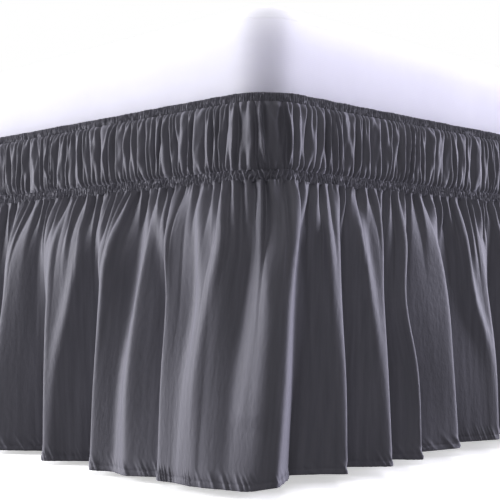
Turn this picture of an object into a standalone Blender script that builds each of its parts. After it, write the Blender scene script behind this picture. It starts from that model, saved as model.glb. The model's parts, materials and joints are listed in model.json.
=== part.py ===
"""A gathered wrap-round bed skirt, worn by a plain twin mattress on a bed base with feet.

Metres, +Z up. The floor is z = 0, under the middle of the bed. The bed's length runs along Y
and its foot end faces -Y. Heights along the skirt are worked out from the two headings, and
widths along it from the bed's wall.
"""

import math
import random
from collections import namedtuple

import bpy
import bmesh
from mathutils import Vector

MM = 0.001
COLLECTION = "bed_skirt_on_bed"
CONTACT_GAP = 0.3 * MM

# The bed that the skirt fits round.
BED_WIDTH = 0.991
BED_LENGTH = 1.905
CORNER_RADIUS = 0.045
CORNER_STEPS = 6
MATTRESS_TOP = 0.508
BASE_TOP = 0.338
BASE_UNDERSIDE = 0.170
RIM_RADIUS = 0.014
RIM_STEPS = 3
FOOT_RADIUS = 0.028
FOOT_SIDES = 20
FOOT_PLACES_X = (-0.40, 0.40)
FOOT_PLACES_Y = (-0.86, 0.0, 0.86)

# The two elastic headings, as rings that grip the bed's wall.
HEADING_THICKNESS = 0.0045
TOP_HEADING_TOP = 0.414
TOP_HEADING_DEPTH = 0.011
MIDDLE_HEADING_TOP = 0.333
MIDDLE_HEADING_DEPTH = 0.014

# The cloth.
CLOTH_THICKNESS = 0.002

# Upper panel: a row of small gathers, drawn in at both headings and blown out between them.
GATHER_PITCH = 0.031
GATHER_PITCH_SPREAD = 0.28
GATHER_HOLLOW_AT_HEADING = 0.0034
GATHER_CREST_AT_HEADING = 0.0056
GATHER_CREST_BULGE = (0.0100, 0.0150)
GATHER_HOLLOW_BULGE = 0.0040
GATHER_LEAN = 0.007
PANEL_LEVELS = (0.0, 0.5, 1.0)
CREASE_ANGLE = math.radians(25)

# Lower ruffle: deep folds that widen evenly from the heading to the hem. Its top edge runs
# straight down for a little way from the heading. Levels run from 0 at the heading to 1 at the
# hem, and the columns of each table stand for RUFFLE_LEVELS.
RUFFLE_TOP_EDGE = 0.004
RUFFLE_LEVELS = (0.0, 0.18, 0.41, 0.67, 1.0)
HALF_FOLD_STEPS = 3
FLANK_SAG = 0.45
PUCKER_AT_HEADING = 0.0011
PUCKER_DEPTH = 0.20

# A fold of the ruffle, in mm. place is its crest's distance along the wall from the corner
# between the foot end and the +X side, minus toward the foot end. out is how far the crest
# stands out from the wall, and hollow the same for the hollow after it, which lies at the share
# hollow_at of the way to the next crest.
Fold = namedtuple("Fold", "place out hollow hollow_at")

CORNER_FOLDS = (
    Fold((-406, -408, -412, -414, -402), (5.5, 34, 45, 55, 66), (3.4, 10, 12, 13, 14), 0.60),
    Fold((-320, -318, -317, -308, -294), (5.5, 33, 44, 54, 64), (3.4, 12, 14, 17, 20), 0.62),
    Fold((-199, -204, -209, -208, -202), (5.5, 34, 44, 54, 64), (3.4, 14, 24, 42, 55), 0.50),
    Fold((-155, -146, -151, -153, -136), (5.5, 27, 40, 51, 61), (3.4, 12, 20, 34, 45), 0.60),
    Fold((-110, -108, -99, -98, -92), (5.5, 31, 41, 49, 58), (3.4, 18, 27, 42, 54), 0.50),
    Fold((-50, -37, -42, -44, -34), (5.5, 26, 36, 46, 56), (3.4, 18, 27, 38, 49), 0.50),
    Fold((28, 19, 13, 4, -17), (5.5, 24, 32, 40, 49), (3.4, 3.6, 4, 0, -6), 0.50),
    Fold((87, 76, 76, 75, 69), (5.5, 23, 30, 37, 43), (3.4, 6, 8, 9, 9), 0.50),
    Fold((158, 153, 149, 147, 143), (5.5, 24, 31, 38, 46), (3.4, 5, 8, 10, 11), 0.50),
    Fold((207, 199, 190, 204, 198), (5.5, 22, 30, 37, 46), (3.4, 5, 8, 11, 14), 0.36),
    Fold((258, 267, 278, 281, 286), (5.5, 21, 29, 34, 38), (3.4, 5, 7, 9, 11), 0.50),
    Fold((363, 363, 368, 374, 370), (5.5, 22, 29, 36, 42), (3.4, 8, 9, 10, 10), 0.50),
)

# Folds of the rest of the way round: alike in kind, each with its own width, depth and sway.
OTHER_FOLD_SEED = 16
OTHER_FOLD_WIDTH = (78, 108)
OTHER_FOLD_CREST = (44, 62)
OTHER_FOLD_HOLLOW = (8, 15)
OTHER_FOLD_HOLLOW_AT = (0.42, 0.58)
OTHER_FOLD_SWAY = 9
FOLD_WIDTH_ROUND_A_CORNER = 0.55
CREST_AT_HEADING = 5.5
HOLLOW_AT_HEADING = 3.4
FLARE = (0.0, 0.46, 0.66, 0.82, 1.0)

# Height of the hem above the floor by place along the wall, in mm.
HemHeight = namedtuple("HemHeight", "place height")
HEM_HEIGHTS = (
    HemHeight(-1500, 8),
    HemHeight(-700, 6),
    HemHeight(-200, 4),
    HemHeight(0, 9),
    HemHeight(150, 14),
    HemHeight(400, 19),
    HemHeight(900, 12),
    HemHeight(1800, 8),
)

# Colours as linear red, green, blue, with roughness.
SKIRT_COLOUR = (0.085, 0.082, 0.100)
HEADING_COLOUR = (0.060, 0.058, 0.072)
MATTRESS_COLOUR = (0.83, 0.83, 0.86)
BASE_COLOUR = (0.42, 0.41, 0.40)
FOOT_COLOUR = (0.16, 0.09, 0.05)

CORNER_ARC = CORNER_RADIUS * math.pi / 2
HALF_RUN_X = BED_WIDTH / 2 - CORNER_RADIUS
HALF_RUN_Y = BED_LENGTH / 2 - CORNER_RADIUS
PERIMETER = 4 * (CORNER_ARC + HALF_RUN_X + HALF_RUN_Y)


def wall_frame(place):
    """Point on the bed's wall in plan, and the way out of the wall there.

    Place is the distance along the wall from the middle of the corner between the foot end
    and the +X side; it grows toward the head end, anticlockwise seen from above.
    """
    along = (place + CORNER_ARC / 2) % PERIMETER
    corners = ((1, -1), (1, 1), (-1, 1), (-1, -1))
    for turn, (side_x, side_y) in enumerate(corners):
        centre = Vector((side_x * HALF_RUN_X, side_y * HALF_RUN_Y))
        straight = 2 * (HALF_RUN_X if turn % 2 else HALF_RUN_Y)
        if along < CORNER_ARC:
            angle = math.radians(90 * (turn - 1)) + along / CORNER_RADIUS
            outward = Vector((math.cos(angle), math.sin(angle)))
            return centre + CORNER_RADIUS * outward, outward
        along -= CORNER_ARC
        if along < straight or turn == 3:
            angle = math.radians(90 * turn)
            outward = Vector((math.cos(angle), math.sin(angle)))
            onward = Vector((-outward.y, outward.x))
            return centre + CORNER_RADIUS * outward + along * onward, outward
        along -= straight


def round_a_corner(place):
    """Whether a place along the wall lies on one of the four corners' arcs."""
    along = (place + CORNER_ARC / 2) % PERIMETER
    for turn in range(4):
        if along < CORNER_ARC:
            return True
        along -= CORNER_ARC + 2 * (HALF_RUN_X if turn % 2 else HALF_RUN_Y)
        if along < 0:
            return False
    return False


def heading_places():
    """Places along the wall where a heading's ring bends: each corner's arc, in equal steps."""
    places = []
    start = -CORNER_ARC / 2
    for turn in range(4):
        places += [start + CORNER_ARC * step / CORNER_STEPS for step in range(CORNER_STEPS + 1)]
        start += CORNER_ARC + 2 * (HALF_RUN_X if turn % 2 else HALF_RUN_Y)
    return places


def ring_sheet(name, rows):
    """Open sheet round the bed through rows of (place, out, height), top row first."""
    mesh = bpy.data.meshes.new(name)
    shape = bmesh.new()
    loops = []
    for row in rows:
        loop = []
        for place, out, height in row:
            foot, outward = wall_frame(place)
            spot = foot + out * outward
            loop.append(shape.verts.new((spot.x, spot.y, height)))
        loops.append(loop)
    for upper, lower in zip(loops, loops[1:]):
        for column in range(len(upper)):
            after = (column + 1) % len(upper)
            shape.faces.new((upper[column], lower[column], lower[after], upper[after]))
    shape.to_mesh(mesh)
    shape.free()
    mesh.shade_smooth()
    return bpy.data.objects.new(name, mesh)


def crease(sheet):
    """Show a sheet's gathers as creases: edges that bend more than CREASE_ANGLE are sharp."""
    sheet.data.set_sharp_from_angle(angle=CREASE_ANGLE)


def thicken(sheet, thickness):
    """Give an open sheet its thickness, half to each side."""
    solidify = sheet.modifiers.new("thickness", "SOLIDIFY")
    solidify.thickness = thickness
    solidify.offset = 0


def mix(start, end, share):
    return start + (end - start) * share


def smooth(share):
    share = min(max(share, 0.0), 1.0)
    return share * share * (3 - 2 * share)


def hem_height(place):
    """Height of the hem above the floor, in metres, at a place along the wall."""
    place_mm = (place / MM + PERIMETER / MM / 2) % (PERIMETER / MM) - PERIMETER / MM / 2
    marks = list(HEM_HEIGHTS)
    turn = PERIMETER / MM
    marks.insert(0, HemHeight(marks[-1].place - turn, marks[-1].height))
    marks.append(HemHeight(marks[1].place + turn, marks[1].height))
    for before, after in zip(marks, marks[1:]):
        if place_mm <= after.place:
            share = (place_mm - before.place) / (after.place - before.place)
            return mix(before.height, after.height, smooth(share)) * MM
    return marks[-1].height * MM


def other_folds():
    """Folds from the last of CORNER_FOLDS on round the bed to the first of them."""
    chance = random.Random(OTHER_FOLD_SEED)
    first = CORNER_FOLDS[0].place[-1] + PERIMETER / MM
    place = CORNER_FOLDS[-1].place[-1]
    folds = []
    while True:
        width = chance.uniform(*OTHER_FOLD_WIDTH)
        if round_a_corner((place + width / 2) * MM):
            width *= FOLD_WIDTH_ROUND_A_CORNER
        place += width
        if place > first - OTHER_FOLD_WIDTH[0] * 0.8:
            return folds
        sway = chance.uniform(-OTHER_FOLD_SWAY, OTHER_FOLD_SWAY)
        crest = chance.uniform(*OTHER_FOLD_CREST)
        hollow = chance.uniform(*OTHER_FOLD_HOLLOW)
        folds.append(Fold(
            tuple(place + sway * (1 - flare) for flare in FLARE),
            tuple(mix(CREST_AT_HEADING, crest, flare) for flare in FLARE),
            tuple(mix(HOLLOW_AT_HEADING, hollow, flare) for flare in FLARE),
            chance.uniform(*OTHER_FOLD_HOLLOW_AT),
        ))


def ruffle_row(folds, column):
    """Places and distances out of the ruffle at a level, from crest to hollow to crest.

    The level is one of RUFFLE_LEVELS, given by its column in the folds' tables.
    """
    row = []
    pucker = PUCKER_AT_HEADING * max(0.0, 1 - RUFFLE_LEVELS[column] / PUCKER_DEPTH)
    for fold, following in zip(folds, folds[1:] + folds[:1]):
        place, next_place = fold.place[column] * MM, following.place[column] * MM
        if next_place < place:
            next_place += PERIMETER
        out, next_out = fold.out[column] * MM, following.out[column] * MM
        hollow_place = mix(place, next_place, fold.hollow_at if column else 0.5)
        hollow_out = fold.hollow[column] * MM
        for step in range(2 * HALF_FOLD_STEPS):
            away = abs(HALF_FOLD_STEPS - step) / HALF_FOLD_STEPS
            sag = away - FLANK_SAG * away * (1 - away)
            sign = 1 if len(row) % 2 else -1
            crest_place = place if step < HALF_FOLD_STEPS else next_place
            crest_out = out if step < HALF_FOLD_STEPS else next_out
            row.append((mix(hollow_place, crest_place, away),
                        mix(hollow_out, crest_out, sag) + sign * pucker))
    return row


def lower_ruffle():
    """The deep lower panel, from under the middle heading down to its hem."""
    folds = list(CORNER_FOLDS) + other_folds()
    top = MIDDLE_HEADING_TOP - MIDDLE_HEADING_DEPTH - CONTACT_GAP
    rows = [[(place, out, top) for place, out in ruffle_row(folds, 0)]]
    for column, level in enumerate(RUFFLE_LEVELS):
        row = ruffle_row(folds, column)
        rows.append([(place, out, mix(top - RUFFLE_TOP_EDGE, hem_height(place), level))
                     for place, out in row])
    sheet = ring_sheet("lower_ruffle", rows)
    thicken(sheet, CLOTH_THICKNESS)
    return sheet


def gather_edges():
    """Places along the wall of the upper panel's hollows, a gather apart, all round the bed."""
    chance = random.Random(OTHER_FOLD_SEED + 1)
    count = round(PERIMETER / GATHER_PITCH)
    widths = [1 + chance.uniform(-GATHER_PITCH_SPREAD, GATHER_PITCH_SPREAD) for _ in range(count)]
    scale = PERIMETER / sum(widths)
    edges = [0.0]
    for width in widths:
        edges.append(edges[-1] + width * scale)
    return edges


def upper_panel():
    """The shallow panel between the headings: narrow gathers that swell halfway down."""
    chance = random.Random(OTHER_FOLD_SEED + 2)
    edges = gather_edges()
    top = TOP_HEADING_TOP - TOP_HEADING_DEPTH - CONTACT_GAP
    bottom = MIDDLE_HEADING_TOP + CONTACT_GAP
    rows = [[] for _ in PANEL_LEVELS]
    for start, end in zip(edges, edges[1:]):
        bulge = chance.uniform(*GATHER_CREST_BULGE)
        lean = chance.uniform(-GATHER_LEAN, GATHER_LEAN)
        for row, level in zip(rows, PANEL_LEVELS):
            swell = math.sin(math.pi * level)
            height = mix(top, bottom, level)
            hollow_out = mix(GATHER_HOLLOW_AT_HEADING, GATHER_HOLLOW_BULGE, swell)
            crest_out = mix(GATHER_CREST_AT_HEADING, bulge, swell)
            row.append((start, hollow_out, height))
            row.append(((start + end) / 2 + lean * (level - 0.5), crest_out, height))
    sheet = ring_sheet("upper_panel", rows)
    crease(sheet)
    thicken(sheet, CLOTH_THICKNESS)
    return sheet


def heading(name, top, depth):
    """An elastic heading: a flat ring that grips the bed's wall."""
    out = CONTACT_GAP + HEADING_THICKNESS / 2
    places = heading_places()
    rows = [[(place, out, height) for place in places] for height in (top, top - depth)]
    ring = ring_sheet(name, rows)
    thicken(ring, HEADING_THICKNESS)
    return ring


def bed_block(name, bottom, top):
    """A block of the bed's outline, with its four upright corners rounded."""
    mesh = bpy.data.meshes.new(name)
    shape = bmesh.new()
    bmesh.ops.create_cube(shape, size=1.0)
    bmesh.ops.scale(shape, vec=(BED_WIDTH, BED_LENGTH, top - bottom), verts=shape.verts)
    bmesh.ops.translate(shape, vec=(0, 0, (top + bottom) / 2), verts=shape.verts)
    upright = [edge for edge in shape.edges
               if abs(edge.verts[0].co.z - edge.verts[1].co.z) > (top - bottom) / 2]
    bmesh.ops.bevel(shape, geom=upright, offset=CORNER_RADIUS, segments=CORNER_STEPS,
                    profile=0.5, affect="EDGES")
    shape.to_mesh(mesh)
    shape.free()
    return bpy.data.objects.new(name, mesh)


def mattress():
    """The mattress, with its top and bottom rims rounded over."""
    block = bed_block("mattress", BASE_TOP + CONTACT_GAP, MATTRESS_TOP)
    rims = block.modifiers.new("rims", "BEVEL")
    rims.width = RIM_RADIUS
    rims.segments = RIM_STEPS
    rims.limit_method = "ANGLE"
    rims.angle_limit = math.radians(60)
    block.data.shade_smooth()
    block.data.set_sharp_from_angle(angle=math.radians(35))
    return block


def foot(name, place_x, place_y):
    """A round foot between the floor and the base."""
    height = BASE_UNDERSIDE - CONTACT_GAP
    mesh = bpy.data.meshes.new(name)
    shape = bmesh.new()
    bmesh.ops.create_cone(shape, cap_ends=True, segments=FOOT_SIDES, radius1=FOOT_RADIUS,
                          radius2=FOOT_RADIUS, depth=height)
    shape.to_mesh(mesh)
    shape.free()
    mesh.shade_smooth()
    mesh.set_sharp_from_angle(angle=math.radians(40))
    post = bpy.data.objects.new(name, mesh)
    post.location = (place_x, place_y, height / 2)
    return post


def feet():
    """Six feet in two rows of three."""
    return [foot(f"foot_{row}{side}", x, y)
            for row, y in enumerate(FOOT_PLACES_Y, start=1)
            for side, x in zip("ab", FOOT_PLACES_X)]


def finish(name, colour, roughness):
    """A plain material."""
    material = bpy.data.materials.new(name)
    material.use_nodes = True
    shader = material.node_tree.nodes["Principled BSDF"]
    shader.inputs["Base Color"].default_value = (*colour, 1)
    shader.inputs["Roughness"].default_value = roughness
    shader.inputs["Metallic"].default_value = 0
    return material


def build():
    for thing in list(bpy.data.objects):
        bpy.data.objects.remove(thing, do_unlink=True)
    collection = bpy.data.collections.new(COLLECTION)
    bpy.context.scene.collection.children.link(collection)
    skirt = finish("skirt_cloth", SKIRT_COLOUR, 0.55)
    elastic = finish("elastic_heading", HEADING_COLOUR, 0.7)
    ticking = finish("mattress_cloth", MATTRESS_COLOUR, 0.85)
    cover = finish("base_cloth", BASE_COLOUR, 0.9)
    wood = finish("foot_wood", FOOT_COLOUR, 0.5)
    dressed = [
        (heading("top_heading", TOP_HEADING_TOP, TOP_HEADING_DEPTH), elastic),
        (upper_panel(), skirt),
        (heading("middle_heading", MIDDLE_HEADING_TOP, MIDDLE_HEADING_DEPTH), elastic),
        (lower_ruffle(), skirt),
        (mattress(), ticking),
        (bed_block("bed_base", BASE_UNDERSIDE, BASE_TOP), cover),
    ]
    dressed += [(post, wood) for post in feet()]
    for piece, material in dressed:
        piece.data.materials.append(material)
        collection.objects.link(piece)


build()
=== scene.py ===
import json
import math
import random
from collections import namedtuple

import bmesh
import bpy
import numpy as np
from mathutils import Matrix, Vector

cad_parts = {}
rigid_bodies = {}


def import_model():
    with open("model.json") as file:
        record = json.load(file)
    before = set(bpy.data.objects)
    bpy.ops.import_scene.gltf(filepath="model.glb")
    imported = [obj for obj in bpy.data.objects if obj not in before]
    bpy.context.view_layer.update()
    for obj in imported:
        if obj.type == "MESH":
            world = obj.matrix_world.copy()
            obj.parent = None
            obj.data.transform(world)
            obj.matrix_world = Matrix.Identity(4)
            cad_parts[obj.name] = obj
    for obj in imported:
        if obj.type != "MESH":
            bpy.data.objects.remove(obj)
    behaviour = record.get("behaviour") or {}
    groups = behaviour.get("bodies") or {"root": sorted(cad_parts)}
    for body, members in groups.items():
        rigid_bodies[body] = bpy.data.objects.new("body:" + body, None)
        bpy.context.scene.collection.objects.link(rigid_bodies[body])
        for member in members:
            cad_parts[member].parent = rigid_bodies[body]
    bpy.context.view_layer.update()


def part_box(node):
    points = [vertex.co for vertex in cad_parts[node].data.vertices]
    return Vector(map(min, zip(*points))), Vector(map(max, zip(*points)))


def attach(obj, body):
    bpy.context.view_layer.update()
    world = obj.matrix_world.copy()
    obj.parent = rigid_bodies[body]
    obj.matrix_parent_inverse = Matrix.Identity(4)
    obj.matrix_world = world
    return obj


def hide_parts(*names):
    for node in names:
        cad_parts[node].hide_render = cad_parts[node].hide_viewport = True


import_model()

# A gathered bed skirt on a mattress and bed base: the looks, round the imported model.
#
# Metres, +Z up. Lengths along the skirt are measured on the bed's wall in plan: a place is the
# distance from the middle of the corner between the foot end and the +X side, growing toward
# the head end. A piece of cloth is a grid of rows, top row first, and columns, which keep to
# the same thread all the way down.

MM = 0.001

# ---------------------------------------------------------------------------------------------
# Sizes, from the frame

MATTRESS_LOW, MATTRESS_HIGH = (np.array(corner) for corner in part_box("mattress"))
TOP_HEADING_LOW, TOP_HEADING_HIGH = (np.array(corner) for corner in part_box("top_heading"))
MIDDLE_LOW, MIDDLE_HIGH = (np.array(corner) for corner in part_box("middle_heading"))
BASE_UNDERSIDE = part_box("bed_base")[0][2]
BED_WIDTH = MATTRESS_HIGH[0] - MATTRESS_LOW[0]
BED_LENGTH = MATTRESS_HIGH[1] - MATTRESS_LOW[1]
CORNER_RADIUS = 0.045
CORNER_ARC = CORNER_RADIUS * math.pi / 2
HALF_RUN_X = BED_WIDTH / 2 - CORNER_RADIUS
HALF_RUN_Y = BED_LENGTH / 2 - CORNER_RADIUS
PERIMETER = 4 * (CORNER_ARC + HALF_RUN_X + HALF_RUN_Y)

# The part of the skirt that the camera sees, cut finer than the rest: where it starts and ends
# along the wall, and the first and last of the folds whose crests bound its ruffle.
NEAR_START = -0.62
NEAR_END = 0.56
NEAR_FOLDS = (-2, 13)

# ---------------------------------------------------------------------------------------------
# The ruffle's folds, much as in the solids. Levels run from 0 at the heading to 1 at the hem,
# and the columns of each table stand for LEVELS. Lengths are in mm: place is along the wall, out
# is how far a fold's crest stands out from the wall, and hollow the same for the hollow after
# it, whose place between the two crests is hollow_at.

LEVELS = (0.0, 0.18, 0.41, 0.67, 1.0)

Fold = namedtuple("Fold", "place out hollow hollow_at")

CORNER_FOLDS = (
    Fold((-406, -408, -412, -414, -402), (5.5, 34, 45, 55, 66), (3.4, 8, 8, 9, 12), 0.60),
    Fold((-320, -318, -317, -308, -294), (5.5, 33, 44, 54, 64), (3.4, 9, 9, 12, 18), 0.62),
    Fold((-199, -204, -209, -208, -202), (5.5, 34, 44, 54, 64), (3.4, 12, 20, 38, 52), 0.50),
    Fold((-155, -146, -151, -153, -146), (5.5, 27, 40, 51, 60), (3.4, 10, 14, 26, 43), 0.75),
    Fold((-110, -108, -99, -98, -92), (5.5, 31, 41, 49, 58), (3.4, 18, 27, 42, 54), 0.50),
    Fold((-46, -33, -38, -44, -42), (5.5, 28, 38, 48, 56), (3.4, 12, 20, 33, 48), 0.46),
    Fold((24, 18, 13, 10, 5), (5.5, 30, 42, 49, 52), (3.4, 3.6, 4, 0, -6), 0.27),
    Fold((87, 76, 76, 75, 69), (5.5, 23, 30, 37, 43), (3.4, 6, 8, 9, 9), 0.32),
    Fold((158, 153, 149, 147, 143), (5.5, 24, 31, 38, 46), (3.4, 5, 8, 10, 11), 0.46),
    Fold((207, 199, 190, 204, 198), (5.5, 22, 30, 37, 46), (3.4, 5, 7, 8, 10), 0.26),
    Fold((258, 267, 278, 281, 286), (5.5, 21, 29, 34, 38), (3.4, 5, 7, 9, 11), 0.27),
    Fold((363, 363, 368, 374, 370), (5.5, 22, 29, 36, 42), (3.4, 8, 9, 10, 10), 0.28),
)

# Lesser ridges on the folds: how high each stands over the fold's own section, and its width.
# A ridge's foot reaches RIDGE_FOOT widths to each side.
Ridge = namedtuple("Ridge", "place height width")
RIDGE_FOOT = 1.7
RIDGE_SHARPNESS = 1.2

CORNER_RIDGES = (
    Ridge((-352, -345, -341, -340, -342), (0, 17, 12, 2, 0), 17),
    Ridge((-293, -278, -283, -290, -286), (0, 8, 10, 6, 3), 9),
    Ridge((-246, -236, -222, -214, -208), (0, 13, 8, 0, 0), 15),
    Ridge((-142, -120, -106, -99, -95), (0, 12, 4, 0, 0), 10),
    Ridge((-82, -60, -52, -56, -62), (0, 7, 5, 3, 2), 9),
    Ridge((-12, -4, 1, -1, -6), (0, 8, 10, 8, 3), 10),
    Ridge((39, 31, 33, 27, 16), (0, 4, 4, 5, 11), 8),
    Ridge((59, 59, 63, 66, 62), (0, 8, 7, 4, 2), 8),
    Ridge((128, 121, 127, 135, 138), (0, 11, 9, 5, 1), 8),
    Ridge((231, 209, 204, 214, 206), (0, 4, 4, 3, 0), 5),
    Ridge((327, 328, 338, 362, 366), (0, 9, 11, 4, 0), 8),
    Ridge((411, 388, 385, 390, 392), (0, 6, 4, 2, 0), 8),
)

# The folds of the rest of the way round are alike in kind, each with its own width, depth and
# sway, and each with one lesser ridge, at a share of the fold's width from its crest. The last
# fold is at least LEAST_LAST_FOLD of the narrowest width. FLARE is how far a fold has opened at
# each of LEVELS.
OTHER_FOLD_SEED = 16
OTHER_FOLD_WIDTH = (78, 108)
OTHER_FOLD_CREST = (44, 62)
OTHER_FOLD_HOLLOW = (8, 15)
OTHER_FOLD_HOLLOW_AT = (0.42, 0.58)
OTHER_FOLD_SWAY = 9
FOLD_WIDTH_ROUND_A_CORNER = 0.55
CREST_AT_HEADING = 5.5
HOLLOW_AT_HEADING = 3.4
FLARE = (0.0, 0.46, 0.66, 0.82, 1.0)
OTHER_RIDGE_AT = (-0.65, -0.35)
OTHER_RIDGE_LEAN = 12
OTHER_RIDGE_PIVOT = 0.4
OTHER_RIDGE_SIZE = (0.3, 1.2)
OTHER_RIDGE_HEIGHT = (0, 9, 8, 4, 1)
OTHER_RIDGE_WIDTH = 9
LEAST_LAST_FOLD = 0.8

# The section of the folds. HOLLOW_SAG is how much a flank sags below a straight line where it
# faces away from the near corner, and SHADED_SAG where it faces the corner: below 0, it bulges.
# A hollow nearer than CORNER_FLANK before the corner counts as past it. CREST_RADII is how far
# the section's corners are rounded at each of LEVELS, in mm.
HOLLOW_SAG = 0.45
SHADED_SAG = -0.12
CORNER_FLANK = 0.020
CREST_RADII = (1.5, 3.0, 4.0, 4.5, 3.5)
FOLD_SAMPLES = 48
ROUNDING_PASSES = 3
SECTION_STEP = 0.001

# Height of the hem above the floor by place along the wall, in mm.
HemHeight = namedtuple("HemHeight", "place height")
HEM_HEIGHTS = (
    HemHeight(-1500, 8),
    HemHeight(-700, 6),
    HemHeight(-300, 5),
    HemHeight(-180, 6),
    HemHeight(-60, 9),
    HemHeight(-12, 9),
    HemHeight(10, 14),
    HemHeight(60, 16),
    HemHeight(150, 15),
    HemHeight(400, 19),
    HemHeight(900, 12),
    HemHeight(1800, 8),
)

# Grid of the ruffle: columns are even along the heading, and rows are close together under the
# heading and at the hem. Each stretch of rows has its depth and the height of one row.
NEAR_COLUMN = 0.00116
FAR_COLUMN = 0.0042
GATHER_ZONE = 0.060
GATHER_ROW = 0.0016
HEM_ZONE = 0.020
HEM_ROW = 0.0012
FALL_ROW = 0.0062
FAR_ROWS_COARSER = 2

# Grids of the panel and the headings: length of a column, and the number of rows.
PANEL_NEAR_GRID = (0.0009, 46)
PANEL_FAR_GRID = (0.0019, 20)
HEADING_NEAR_GRID = (0.0005, 20)
HEADING_FAR_GRID = (0.0011, 10)

# Gathers that spring from the middle heading, called leaves, and run together in pairs, then into
# the folds, with fine ones between them at the heading. Of each kind: its pitch along the heading
# and how much that varies, its height, where its crest is across it, the depth over which it
# fades, how crisp it is, and the share of its height by which it is set back, so that the cloth
# keeps its mean place.
LEAF_PITCH = 0.0162
LEAF_SPREAD = 0.33
LEAF_HEIGHT = (0.0062, 0.0122)
LEAF_CREST = (0.45, 0.75)
LEAF_FADE = (0.026, 0.070)
LEAF_SET_BACK = 0.42
LEAF_AT_HEADING = 0.75
PAIR_HEIGHT = (0.0020, 0.0090)
PAIR_CREST = (0.40, 0.60)
PAIR_FADE = (0.040, 0.120)
PAIR_CRISP = 0.2
PAIR_SET_BACK = 0.35
PAIR_UNDER_LEAF = 0.7
GATHER_RISE = 0.016
FINE_PITCH = 0.0052
FINE_SPREAD = 0.4
FINE_HEIGHT = 0.0028
FINE_FADE = (0.003, 0.009)
FINE_CRISP = 0.6
FINE_SET_BACK = 0.3
NARROW_AT_HEADING = 1.5
BROAD_BELOW = 1.0
BROAD_BY = 0.030
LEAF_SEED = 7

# How far the ruffle runs up behind the middle heading, its faint long streaks, and the least it
# stands off the bed base.
RUFFLE_OVERLAP = 0.0025
STREAK_HEIGHT = 0.00010
STREAK_SIZE = (0.020, 0.250)
STREAK_RISE = 0.03
CLOTH_CLEAR = 0.001

# The hem: cloth turned up and stitched, in m. Its puckers lie along the hem's own length, which
# is HEM_FULLNESS times the heading's. HEM_RETURN is the way inward and up of its turned edge.
HEM_DEPTH = 0.006
HEM_PLUMP = 0.0004
HEM_PLUMP_EDGE = 0.003
STITCH_GROOVE = 0.0004
STITCH_HALF_WIDTH = 0.0010
HEM_FULLNESS = 1.5
HEM_PUCKER_PITCH = 0.0056
HEM_PUCKER_SPREAD = 0.5
HEM_PUCKER = 0.0017
HEM_PUCKER_SIZES = (-0.5, 1.4)
HEM_PUCKER_SLANT = 0.55
HEM_PUCKER_FADE = 0.0085
HEM_RETURN = ((0.0004, -0.0004), (0.0011, -0.0002), (0.0015, 0.0010), (0.0015, 0.0040))

# The upper panel's gathers run from heading to heading, and many split in two near each. Sizes
# are those of the soft noise that a length goes with: along the wall, then down it. A value at
# the headings comes before one at mid-depth.
PANEL_PITCH = 0.0150
PANEL_SPREAD = 0.42
PANEL_HEIGHT = (0.0050, 0.0095)
PANEL_CREST = (0.30, 0.86)
PANEL_CRISP = 0.45
PANEL_SHARPNESS = (1.9, 0.95)
PANEL_OUT = 0.0026
PANEL_BELLY = 0.0012
PANEL_SWELL = (0.30, 0.70)  # at the headings, and what mid-depth adds
PANEL_SWAY = 0.0018
PANEL_SWAY_SIZE = (0.050, 0.130)
PANEL_TILT = 0.0065
PANEL_TILT_SIZE = 0.040
PANEL_FLATNESS = 5.5
PANEL_LEAN = 0.0028
PANEL_UNEVEN = 0.0007
PANEL_UNEVEN_SIZE = (0.018, 0.050)
SPLIT_FADE = (0.005, 0.028)
SPLIT_LOWERS = 0.65
SPLIT_HEIGHT = 0.0044
SPLIT_AT_HEADING = 0.45
SPLIT_RISE = 0.009
PANEL_OVERLAP = 0.0010
PANEL_CLOTH = 1.05
PANEL_SEED = 31

# The mattress: its grid, its rounded rims, and the seam that runs round under its top. The top is
# rings shrunk toward the middle, down to MATTRESS_LAST_RING, and the underside has every fourth.
MATTRESS_COLUMNS = 580
MATTRESS_RIM = 0.014
MATTRESS_RIM_STEPS = 6
MATTRESS_SIDE_STEPS = 12
MATTRESS_FIRST_SIDE_STEP = 2
MATTRESS_TOP_RINGS = 24
MATTRESS_LAST_RING = 0.02
MATTRESS_UNDER_EVERY = 4
SEAM_DROPS = (0.0150, 0.0158, 0.0166)
SEAM_DEPTH = 0.0008

# The headings' puckers. Two slanting rows of them cross, each stronger where the other is weaker.
# Of each heading: the puckers' pitch and height, how narrow their crests are, how far each row
# slants and wanders, how far the heading stands out under them, and a seed.
HeadingLook = namedtuple("HeadingLook", "pitch height narrow slant crush out seed")
TOP_LOOK = HeadingLook(0.0025, 0.0034, 1.0, 0.05, 0.0002, 0.0016, 3)
MIDDLE_LOOK = HeadingLook(0.0042, 0.0042, 1.0, 0.30, 0.0003, 0.0032, 60)
PUCKER_SPREAD = 0.35
PUCKER_CRISP = 0.6
PUCKER_WANDER_SIZE = (0.009, 0.009)
PUCKER_SIDE_SIZE = (0.014, 0.050)
PUCKER_MEAN = 0.65
PUCKER_SWING = 0.55
PUCKER_LEAST = 0.1
PUCKER_UNEVEN = 0.20
PUCKER_UNEVEN_SIZE = (0.007, 0.012)
EDGE_TURN = 0.0010
EDGE_SHARPNESS = 6
EDGE_UNEVEN = 0.0003
UPPER_EDGE_SIZE = 0.060
LOWER_EDGE_SIZE = 0.020

# ---------------------------------------------------------------------------------------------
# The bed's wall


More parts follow.
